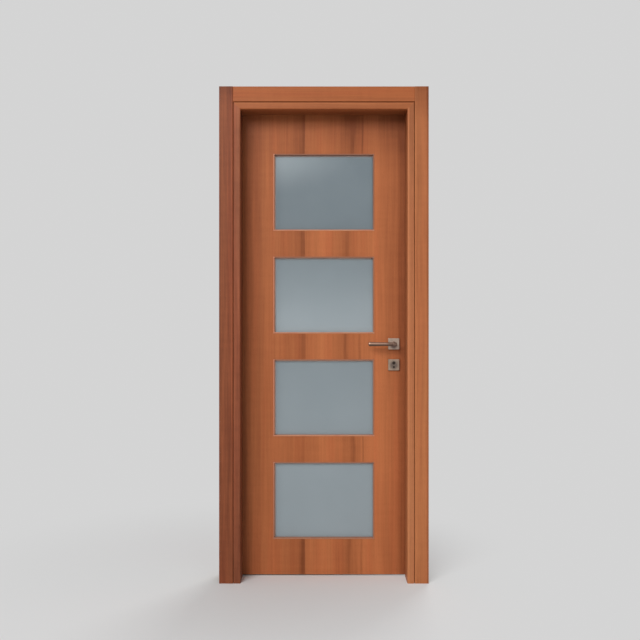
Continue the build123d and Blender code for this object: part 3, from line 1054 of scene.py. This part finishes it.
@dataclass(frozen=True)
class SetScrew:
    """A small flat screw with a six-sided recess."""

    radius: float = 2.2 * MM
    rise: float = 0.35 * MM
    recess_radius: float = 1.2 * MM
    recess_depth: float = 0.3 * MM
    recess_sides: int = 6
    sides: int = 24
    rim_rise: float = 0.6
    top_radius: float = 0.88

    def add_to(self, pieces: PieceMesh, place: Matrix) -> None:
        """Add one screw to a mesh.

        Args:
            pieces: The mesh that takes the screw.
            place: Its seat.
        """
        foot = pieces.loop(place, circle(self.radius, self.sides), -self.rise)
        rim = pieces.loop(place, circle(self.radius, self.sides), self.rim_rise * self.rise)
        top = pieces.loop(place, circle(self.top_radius * self.radius, self.sides), self.rise)
        recess = circle(self.recess_radius, self.recess_sides)
        mouth = pieces.loop(place, recess, self.rise)
        floor = pieces.loop(place, recess, self.rise - self.recess_depth)
        pieces.mesh.faces.new(foot)
        pieces.band(foot, rim)
        pieces.band(rim, top)
        pieces.ring(top, mouth)
        pieces.band(mouth, floor)
        pieces.mesh.faces.new(floor)


@dataclass
class Lining:
    """The jambs and the head of the lining, with the seal in its rebate."""

    # The hinge jamb's tone lies under the strike jamb's: painted shade on the hinge side.
    jamb_tone: float = 0.38
    strike_tone: float = 0.62
    head_tone: float = 0.52
    bare_step: float = 9.9 * MM
    bare_depth: float = 63.4 * MM
    reveal_half: float = 70 * MM
    reveal_face: Zone = Zone(Axis.Y, -66 * MM, 34 * MM)
    quirk_light: float = 11 * MM
    quirk_light_half: float = 2 * MM
    hinge_top_light: float = 150 * MM
    hinge_top_shade: float = 180 * MM
    strike_top_shade: float = 300 * MM
    strike_corner_shade: float = 110 * MM
    strike_arris_highlight: float = 36.5 * MM
    head_joint_shade: float = 12 * MM
    head_joint_shade_half: float = 4 * MM
    head_arris_highlight: float = 18 * MM
    arris_half: float = 5 * MM

    def dress(self) -> None:
        """Veneer the lining, leaving its outer faces as bare board."""
        far_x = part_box("strike_jamb")[1].x
        top_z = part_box("head_jamb")[1].z
        depth = Zone(Axis.Y, -self.bare_depth, self.bare_depth)
        hinge = Veneer(
            "hinge_jamb_veneer", dark=SHADED_DARK, light=srgb(178, 108, 74), tone=self.jamb_tone,
            spread=0.4, foot_painted_light=-0.06, bare=(self.outer_face(Axis.X, 0.0), depth),
            painted_bands=(
                # Painted shade in the reveal and its top corner, painted light in the quirk, and a
                # lighter top that eases the hinge side's painted shade by the head.
                self.reveal_shade(tone=-0.05),
                PaintedLightBand(Axis.X, self.quirk_light, self.quirk_light_half, tone=0.5),
                PaintedLightBand(Axis.Z, top_z, self.hinge_top_light, tone=0.27),
                PaintedLightBand(Axis.Z, top_z, self.hinge_top_shade, tone=-0.7, within=self.reveal_face),
            ),
        )
        strike = Veneer(
            "strike_jamb_veneer", light=srgb(184, 118, 77), tone=self.strike_tone, spread=0.4,
            blush=0.35, foot_painted_light=0.18, shift=(3.1, 0.7, 0.2),
            bare=(self.outer_face(Axis.X, far_x), depth),
            painted_bands=(
                # Painted shade in the reveal, at the top and in the reveal's top corner, a painted
                # highlight on the inner arris, and painted light in the quirk.
                self.reveal_shade(tone=-0.3),
                PaintedLightBand(Axis.X, far_x - self.strike_arris_highlight, self.arris_half, tone=0.5),
                PaintedLightBand(Axis.X, far_x - self.quirk_light, self.quirk_light_half, tone=0.6),
                PaintedLightBand(Axis.Z, top_z, self.strike_top_shade, tone=-0.28),
                PaintedLightBand(Axis.Z, top_z, self.strike_corner_shade, tone=-0.45, within=self.reveal_face),
            ),
        )
        head = Veneer(
            "head_jamb_veneer", light=srgb(178, 109, 66), tone=self.head_tone, spread=0.3, blush=0.4,
            grain=Axis.X, shift=(0.4, 2.2, 5.6), bare=(self.outer_face(Axis.Z, top_z), depth),
            painted_bands=(
                # Painted shade in the reveal and along the joint under the architrave, and a painted
                # highlight on the band's top arris.
                self.reveal_shade(tone=-0.3),
                PaintedLightBand(Axis.Z, top_z - self.head_joint_shade, self.head_joint_shade_half, tone=-0.2),
                PaintedLightBand(Axis.Z, top_z - self.head_arris_highlight, self.arris_half, tone=0.15),
            ),
        )
        for place, veneer in (("hinge", hinge), ("strike", strike), ("head", head)):
            dress([f"{place}_jamb"], veneer.material())
        dress(["door_seal"], SealRubber().material())

    def outer_face(self, axis: Axis, place: float) -> Zone:
        """The bare face on the outside of the lining."""
        return Zone(axis, place - self.bare_step, place + self.bare_step)

    def reveal_shade(self, tone: float) -> PaintedLightBand:
        """Painted shade towards the middle of the lining's depth, in the reveal."""
        return PaintedLightBand(Axis.Y, 0.0, self.reveal_half, tone)


@dataclass
class Casing:
    """The architraves on both sides of the lining."""

    # The hinge architrave's tone lies under the strike one's: painted shade on the hinge side.
    hinge_tone: float = 0.46
    strike_tone: float = 0.66
    head_tone: float = 0.64
    back_face: float = 63.2 * MM
    arris_inset: float = 3.5 * MM
    arris_half: float = 5 * MM
    edge_inset: float = 5.5 * MM
    edge_half: float = 6 * MM
    hinge_top_shade: float = 110 * MM
    strike_top_shade: float = 190 * MM

    def dress(self) -> None:
        """Veneer the architraves, leaving their backs as bare board."""
        bare = (Zone(Axis.Y, -self.back_face, self.back_face),)
        hinge_low, hinge_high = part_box("front_hinge_architrave")
        strike_low, strike_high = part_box("front_strike_architrave")
        head_low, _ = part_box("front_head_architrave")
        hinge_arris_highlight, strike_arris_highlight = hinge_high.x - self.arris_inset, strike_low.x + self.arris_inset
        hinge_edge_shade, strike_edge_shade = hinge_low.x + self.edge_inset, strike_high.x - self.edge_inset
        hinge = Veneer(
            "hinge_architrave_veneer", dark=SHADED_DARK, light=srgb(164, 94, 60), tone=self.hinge_tone,
            spread=0.45, stripe=0.6, foot_painted_light=-0.08, shift=(1.7, 4.0, 0.9), bare=bare,
            painted_bands=(
                # Painted highlight on the inner arris, painted shade on the outer edge and at the top.
                PaintedLightBand(Axis.X, hinge_arris_highlight, self.arris_half, tone=0.12),
                PaintedLightBand(Axis.X, hinge_edge_shade, self.edge_half, tone=-0.15),
                PaintedLightBand(Axis.Z, hinge_high.z, self.hinge_top_shade, tone=-0.22),
            ),
        )
        strike = Veneer(
            "strike_architrave_veneer", light=srgb(182, 113, 70), tone=self.strike_tone,
            spread=0.45, stripe=0.55, blush=0.4, foot_painted_light=0.16, shift=(7.3, 0.5, 2.4), bare=bare,
            painted_bands=(
                # Painted highlight on the inner arris, painted shade on the outer edge and at the top.
                PaintedLightBand(Axis.X, strike_arris_highlight, self.arris_half, tone=0.3),
                PaintedLightBand(Axis.X, strike_edge_shade, self.edge_half, tone=-0.4),
                PaintedLightBand(Axis.Z, strike_high.z, self.strike_top_shade, tone=-0.42),
            ),
        )
        head = Veneer(
            "head_architrave_veneer", light=srgb(178, 103, 59), tone=self.head_tone,
            spread=0.4, grain=Axis.X, shift=(0.2, 6.1, 8.8), bare=bare,
            # Painted shade along the lower edge, by the joint with the lining.
            painted_bands=(PaintedLightBand(Axis.Z, head_low.z, self.arris_half, tone=-0.35),),
        )
        for place, veneer in (("hinge", hinge), ("strike", strike), ("head", head)):
            dress([f"{side}_{place}_architrave" for side in ("front", "back")], veneer.material())


@dataclass
class Leaf:
    """The leaf's skins and the lipped edges of its core."""

    rails: tuple[str, ...] = ("top_rail", "upper_rail", "middle_rail", "lower_rail", "bottom_rail")
    lipping: float = 0.3 * MM

    def dress(self) -> None:
        """Veneer the skins and the upright edges, leaving the top and bottom edges bare."""
        low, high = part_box("hinge_stile")
        ends = Zone(Axis.Z, low.z + self.lipping, high.z - self.lipping, outside=True)
        skin = LeafVeneer(
            "leaf_veneer", light=srgb(184, 109, 66), spread=0.28, streak=0.25, fine=0.18,
            blush=0.45, shift=(0.0, 0.0, 3.3),
        )
        edge = Veneer("leaf_edge_veneer", tone=0.55, spread=0.3, shift=(2.0, 9.0, 1.0), bare=(ends,))
        dress(["front_skin", "back_skin"], skin.material())
        dress(["hinge_stile", "lock_stile", *self.rails], edge.material())


@dataclass(frozen=True)
class PaneTones:
    """A pane, with the tones of its painted reflection at the top, at the bottom and in the top left
    corner.
    """

    name: str
    top: float
    bottom: float
    corner: float = 0.0


@dataclass
class Glazing:
    """The four panes and the beads that hold them."""

    bead_width: float = 6 * MM
    panes: tuple[PaneTones, ...] = (
        PaneTones("top_pane", 0.05, 0.13, 0.58),
        PaneTones("upper_pane", 0.36, 0.85),
        PaneTones("lower_pane", 0.52, 0.65),
        PaneTones("bottom_pane", 0.70, 0.74),
    )

    def dress(self) -> None:
        """Give each pane its own etched glass with its own painted reflection, and veneer the beads."""
        for pane in self.panes:
            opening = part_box(f"{pane.name}_beads")
            glass = SatinGlass(
                f"{pane.name}_glass", opening, self.bead_width, pane.top, pane.bottom, pane.corner
            )
            dress([pane.name], glass.material())
        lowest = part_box("bottom_pane_beads")[0]
        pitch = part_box("lower_pane_beads")[0].z - lowest.z
        # The beads' dark and light colours are the veneer under painted shade and under painted
        # highlight.
        beads = BeadVeneer(
            "bead_veneer_painted_light", dark=srgb(136, 94, 75), light=srgb(190, 134, 104),
            left=lowest.x, bottom=lowest.z, pitch=pitch, width=self.bead_width,
        )
        dress([f"{pane.name}_beads" for pane in self.panes], beads.material())


@dataclass
class Hinges:
    """Three butt hinges, with four screws in each plate."""

    names: tuple[str, ...] = ("top_hinge", "middle_hinge", "bottom_hinge")
    plate_width: float = 30 * MM
    frame_face: float = 25 * MM
    door_face: float = 30 * MM
    screw_rows: tuple[float, ...] = (-38 * MM, -14 * MM, 14 * MM, 38 * MM)
    screw_stagger: float = 5 * MM
    first_turn: float = 0.5
    turn_step: float = 0.9

    def dress(self) -> None:
        """Plate the hinges and drive their screws."""
        steel = PlatedMetal("hinge_steel", srgb(196, 186, 176), srgb(168, 156, 146), Axis.Z).material()
        dress([f"{name}_{side}_leaf" for name in self.names for side in ("frame", "door")], steel)
        dress(["hinge_pins"], steel)
        bright = PlatedMetal(
            "screw_steel", srgb(186, 178, 170), srgb(150, 142, 134), Axis.Y, roughness=0.3
        ).material()
        for name in self.names:
            self.drive(f"{name}_frame", "frame", self.frame_face, 1.0, bright)
            self.drive(f"{name}_door", "leaf", self.door_face, -1.0, bright)

    def drive(self, half: str, body: str, face: float, out: float, material: bpy.types.Material) -> None:
        """Drive the screws of one plate.

        Args:
            half: The plate's half of its hinge, such as top_hinge_frame.
            body: The body that the plate moves with.
            face: The plate's face, along X.
            out: The way out of the face, along X.
            material: The screws' finish.
        """
        low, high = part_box(f"{half}_leaf")
        middle_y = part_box("back_skin")[1].y - self.plate_width / 2
        middle_z = (low.z + high.z) / 2
        heads = PieceMesh()
        for i, row in enumerate(self.screw_rows):
            side = self.screw_stagger if i % 2 else -self.screw_stagger
            turn = self.first_turn + self.turn_step * i
            place = seat((face, middle_y + side, middle_z + row), (out, 0.0, 0.0), turn)
            ScrewHead().add_to(heads, place)
        heads.finish(f"{half}_screws", body, material)


@dataclass
class Lock:
    """The lock edge's faceplate and bolts, the strike plate, and the cylinder."""

    faceplate_inset: float = 10 * MM
    strike_inset: float = 13 * MM
    cylinder_screw_drop: float = 9 * MM
    cylinder_height: float = 945 * MM
    plug_radius: float = 6.6 * MM
    plug_rise: float = 0.5 * MM
    lower_dark_disc_radius: float = 4.4 * MM
    lower_dark_disc_drop: float = 17.5 * MM
    keyway: tuple[float, float] = (2.5 * MM, 9.0 * MM)
    plug_sides: int = 48
    plug_rim: float = 0.6
    plug_bevel: float = 0.4
    strike_turn: float = 1.0
    faceplate_turn: float = 3.0

    def dress(self) -> None:
        """Plate the lock, drive its screws and fit the plugs of the cylinder."""
        steel = PlatedMetal("lock_steel", srgb(196, 188, 178), srgb(166, 156, 148), Axis.Z).material()
        bolt = PlatedMetal(
            "bolt_steel", srgb(206, 198, 188), srgb(176, 168, 158), Axis.Z, roughness=0.28
        )
        nickel = PlatedMetal(
            "cylinder_nickel", srgb(126, 111, 101), srgb(104, 91, 82), Axis.Y, roughness=0.3
        )
        # The plug and the disc under it are dark: painted shade, for the shaded recess round the keyway
        # and a shaded gap lower in the cylinder.
        plug = PlatedMetal("plug_nickel_painted_shade", srgb(66, 56, 50), srgb(46, 38, 34), roughness=0.34)
        dress(["lock_faceplate", "strike_plate"], steel)
        dress(["lock_bolts"], bolt.material())
        dress(["lock_cylinder"], nickel.material())
        self.drive_strike(steel)
        self.drive_faceplate(steel)
        self.fit_plugs(plug.material())

    def drive_strike(self, material: bpy.types.Material) -> None:
        """Drive the two screws of the strike plate.

        Args:
            material: The screws' finish.
        """
        low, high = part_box("strike_plate")
        heads = PieceMesh()
        for z in (low.z + self.strike_inset, high.z - self.strike_inset):
            place = seat((low.x, (low.y + high.y) / 2, z), (-1.0, 0.0, 0.0), self.strike_turn * z)
            ScrewHead().add_to(heads, place)
        heads.finish("strike_plate_screws", "frame", material)

    def drive_faceplate(self, material: bpy.types.Material) -> None:
        """Drive the two screws of the faceplate, and the one that holds the cylinder.

        Args:
            material: The screws' finish.
        """
        low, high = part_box("lock_faceplate")
        middle_y = (low.y + high.y) / 2
        heads = PieceMesh()
        for z in (low.z + self.faceplate_inset, high.z - self.faceplate_inset,
                  self.cylinder_height - self.cylinder_screw_drop):
            place = seat((high.x, middle_y, z), (1.0, 0.0, 0.0), self.faceplate_turn * z)
            ScrewHead().add_to(heads, place)
        heads.finish("lock_faceplate_screws", "leaf", material)

    def fit_plugs(self, material: bpy.types.Material) -> None:
        """Fit the round plug, with its keyway, and a dark disc below it in both ends of the cylinder.

        Args:
            material: The plugs' finish.
        """
        low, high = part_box("lock_cylinder")
        half_width, half_height = (size / 2 for size in self.keyway)
        slot = [(half_width, half_height), (-half_width, half_height),
                (-half_width, -half_height), (half_width, -half_height)]
        for side, y, out in (("front", low.y, -1.0), ("back", high.y, 1.0)):
            plug = PieceMesh()
            centre = ((low.x + high.x) / 2, y, self.cylinder_height)
            place = seat(centre, (0.0, out, 0.0))
            foot, top = self.raise_button(plug, place, self.plug_radius)
            slot_foot = plug.loop(place, slot, 0.0)
            slot_top = plug.loop(place, slot, self.plug_rise)
            plug.ring(top, slot_top)
            plug.band(slot_top, slot_foot)
            plug.ring(foot, slot_foot)
            # The disc under the plug is a dark mark: painted shade for a gap in the cylinder.
            below = seat((centre[0], y, self.cylinder_height - self.lower_dark_disc_drop), (0.0, out, 0.0))
            for rim in self.raise_button(plug, below, self.lower_dark_disc_radius):
                plug.mesh.faces.new(rim)
            plug.finish(f"{side}_cylinder_plug", "leaf", material)

    def raise_button(
        self, pieces: PieceMesh, place: Matrix, radius: float
    ) -> tuple[list[bmesh.types.BMVert], list[bmesh.types.BMVert]]:
        """Raise the side of a round button with a soft rim.

        Args:
            pieces: The mesh that takes the button.
            place: The button's seat.
            radius: The button's radius at its foot.

        Returns:
            The loops round its open foot and its open top.
        """
        side = circle(radius, self.plug_sides)
        inner = circle(radius - self.plug_bevel * self.plug_rise, self.plug_sides)
        foot = pieces.loop(place, side, 0.0)
        rim = pieces.loop(place, side, self.plug_rim * self.plug_rise)
        top = pieces.loop(place, inner, self.plug_rise)
        pieces.band(foot, rim)
        pieces.band(rim, top)
        return foot, top


@dataclass
class Handles:
    """The levers on their square roses, and the escutcheons."""

    collar_radius: float = 10.5 * MM
    lever_height: float = 1030 * MM
    set_screw_from_rose: float = 2.2 * MM
    rose_shadow_drop: float = 7 * MM
    escutcheon_dark_height: float = 936 * MM
    escutcheon_dark_reach: float = 25 * MM
    neck_shade: Range = (664 * MM, 690 * MM)

    def dress(self) -> None:
        """Plate the handles and put in the levers' set screws."""
        front_rose, back_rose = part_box("front_rose"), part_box("back_rose")
        x = (front_rose[0].x + front_rose[1].x) / 2
        # The dark patch under the collar is the lever's painted shadow on the rose.
        rose = PlatedMetal(
            "rose_nickel", srgb(178, 158, 143), srgb(154, 136, 122), Axis.Z,
            dark_patch=srgb(116, 97, 89), dark_patch_at=(x, 0.0, self.lever_height - self.rose_shadow_drop),
        ).material()
        # The escutcheon is darker round the cylinder.
        escutcheon = PlatedMetal(
            "escutcheon_nickel", srgb(167, 147, 130), srgb(143, 124, 109), Axis.Z,
            dark_patch=srgb(118, 104, 95), dark_patch_at=(x, 0.0, self.escutcheon_dark_height),
            dark_patch_reach=self.escutcheon_dark_reach,
        ).material()
        # Painted shade on the levers' undersides and at their neck ends.
        lever = PlatedMetal(
            "lever_nickel", srgb(157, 126, 109), srgb(134, 105, 91), roughness=0.34,
            underside_shade=srgb(106, 85, 74), end_range=self.neck_shade,
        ).material()
        steel = PlatedMetal("spindle_steel", srgb(186, 178, 168), srgb(150, 142, 134), Axis.Y).material()
        dress(["front_rose", "back_rose"], rose)
        dress(["front_escutcheon", "back_escutcheon"], escutcheon)
        dress(["front_lever", "back_lever"], lever)
        dress(["spindle"], steel)
        screws = PieceMesh()
        z = self.lever_height - self.collar_radius
        out = self.set_screw_from_rose
        for y in (front_rose[0].y - out, back_rose[1].y + out):
            SetScrew().add_to(screws, seat((x, y, z), (0.0, 0.0, -1.0)))
        screws.finish("lever_set_screws", "handle", steel)


@dataclass(frozen=True)
class Lamp:
    """A soft lamp: where it hangs, its width and height, and its power in watts."""

    name: str
    place: Point
    size: tuple[float, float]
    power: float


@dataclass
class Studio:
    """The camera, soft lamps, a pale world and a pale floor that fades into it."""

    camera_place: Point = (0.3852, -3.632, 1.1359)
    lens: float = 46.43
    sensor: float = 36.0
    level: float = math.radians(90)
    aim: Point = (0.402, 0.0, 1.07)
    lamps: tuple[Lamp, ...] = (
        Lamp("key", (-3.22, -8.14, 5.61), (5.5, 4.2), 745.0),
        Lamp("fill", (4.5, -8.8, 3.7), (5.0, 5.0), 70.0),
        Lamp("back", (3.6, 8.6, 5.0), (5.0, 4.0), 380.0),
    )
    sky_strength: float = 0.24
    backdrop: float = 0.66
    floor_tone: float = 0.82
    floor_roughness: float = 0.7
    floor_sheen: float = 0.2
    floor_half: float = 30.0
    fade_from: float = 0.3
    fade_to: float = 1.6

    def build(self) -> None:
        """Make the studio."""
        scene = bpy.context.scene
        scene.view_settings.view_transform = "Standard"
        self.place_camera(scene)
        self.light_world(scene)
        for lamp in self.lamps:
            self.hang(scene, lamp)
        self.lay_floor(scene)

    def place_camera(self, scene: bpy.types.Scene) -> None:
        """Set the camera level, in front of the door.

        Args:
            scene: The scene that takes the camera.
        """
        data = bpy.data.cameras.new("camera")
        data.lens = self.lens
        data.sensor_width = self.sensor
        camera = bpy.data.objects.new("camera", data)
        camera.location = self.camera_place
        camera.rotation_euler = (self.level, 0.0, 0.0)
        scene.collection.objects.link(camera)
        scene.camera = camera

    def light_world(self, scene: bpy.types.Scene) -> None:
        """Light the door evenly, and show a pale backdrop behind it.

        Args:
            scene: The scene that takes the world.
        """
        world = bpy.data.worlds.new("studio")
        world.use_nodes = True
        tree = world.node_tree
        sky = tree.nodes["Background"]
        sky.inputs["Color"].default_value = (1.0, 1.0, 1.0, 1.0)
        sky.inputs["Strength"].default_value = self.sky_strength
        seen = tree.nodes.new("ShaderNodeBackground")
        seen.inputs["Color"].default_value = (self.backdrop, self.backdrop, self.backdrop, 1.0)
        blend = tree.nodes.new("ShaderNodeMixShader")
        tree.links.new(self.seen_directly(tree), blend.inputs[0])
        tree.links.new(sky.outputs[0], blend.inputs[1])
        tree.links.new(seen.outputs[0], blend.inputs[2])
        tree.links.new(blend.outputs[0], tree.nodes["World Output"].inputs["Surface"])
        scene.world = world

    @staticmethod
    def seen_directly(tree: bpy.types.NodeTree) -> Socket:
        """1 for rays that see a surface from the camera, in metal or through glass.

        Args:
            tree: The nodes that take the test.

        Returns:
            The test's result.
        """
        path = tree.nodes.new("ShaderNodeLightPath")
        result = path.outputs["Is Camera Ray"]
        for kind in ("Is Glossy Ray", "Is Transmission Ray"):
            either = tree.nodes.new("ShaderNodeMath")
            either.operation = "MAXIMUM"
            tree.links.new(result, either.inputs[0])
            tree.links.new(path.outputs[kind], either.inputs[1])
            result = either.outputs[0]
        return result

    def hang(self, scene: bpy.types.Scene, lamp: Lamp) -> None:
        """Hang a lamp that points at the door.

        Args:
            scene: The scene that takes the lamp.
            lamp: The lamp.
        """
        data = bpy.data.lights.new(lamp.name, "AREA")
        data.energy = lamp.power
        data.shape = "RECTANGLE"
        data.size, data.size_y = lamp.size
        holder = bpy.data.objects.new(lamp.name, data)
        holder.location = lamp.place
        towards = Vector(self.aim) - Vector(lamp.place)
        holder.rotation_euler = towards.to_track_quat("-Z", "Y").to_euler()
        scene.collection.objects.link(holder)

    def lay_floor(self, scene: bpy.types.Scene) -> None:
        """Lay the floor, which fades into the backdrop away from the door.

        Args:
            scene: The scene that takes the floor.
        """
        half = self.floor_half
        mesh = bpy.data.meshes.new("floor")
        corners = [(-half, -half, 0), (half, -half, 0), (half, half, 0), (-half, half, 0)]
        mesh.from_pydata(corners, [], [(0, 1, 2, 3)])
        floor = bpy.data.objects.new("floor", mesh)
        scene.collection.objects.link(floor)
        graph = NodeGraph("floor")
        x, y, _ = graph.place()
        away = graph.distance(graph.join(x, y, 0.0), ORIGIN)
        far_off = graph.step(away, self.fade_from, self.fade_to)
        fade = graph.math("MULTIPLY", far_off, self.seen_directly(graph.tree))
        graph.set(
            Base_Color=even(self.floor_tone),
            Roughness=self.floor_roughness,
            Specular_IOR_Level=self.floor_sheen,
        )
        far = graph.add("ShaderNodeEmission", {"Color": even(self.backdrop)})
        shaders = {0: fade, 1: graph.shader.outputs[0], 2: far.outputs[0]}
        blend = graph.add("ShaderNodeMixShader", shaders)
        graph.feed(graph.tree.nodes["Material Output"].inputs["Surface"], blend.outputs[0])
        mesh.materials.append(graph.material)


def main() -> None:
    """Build and dress the door, piece by piece."""
    Studio().build()
    for assembly in (Lining(), Casing(), Leaf(), Glazing(), Hinges(), Lock(), Handles()):
        log.info("dressing the %s", type(assembly).__name__.lower())
        assembly.dress()


if __name__ == "__main__":
    logging.basicConfig(level=logging.INFO, format="%(message)s")
    main()
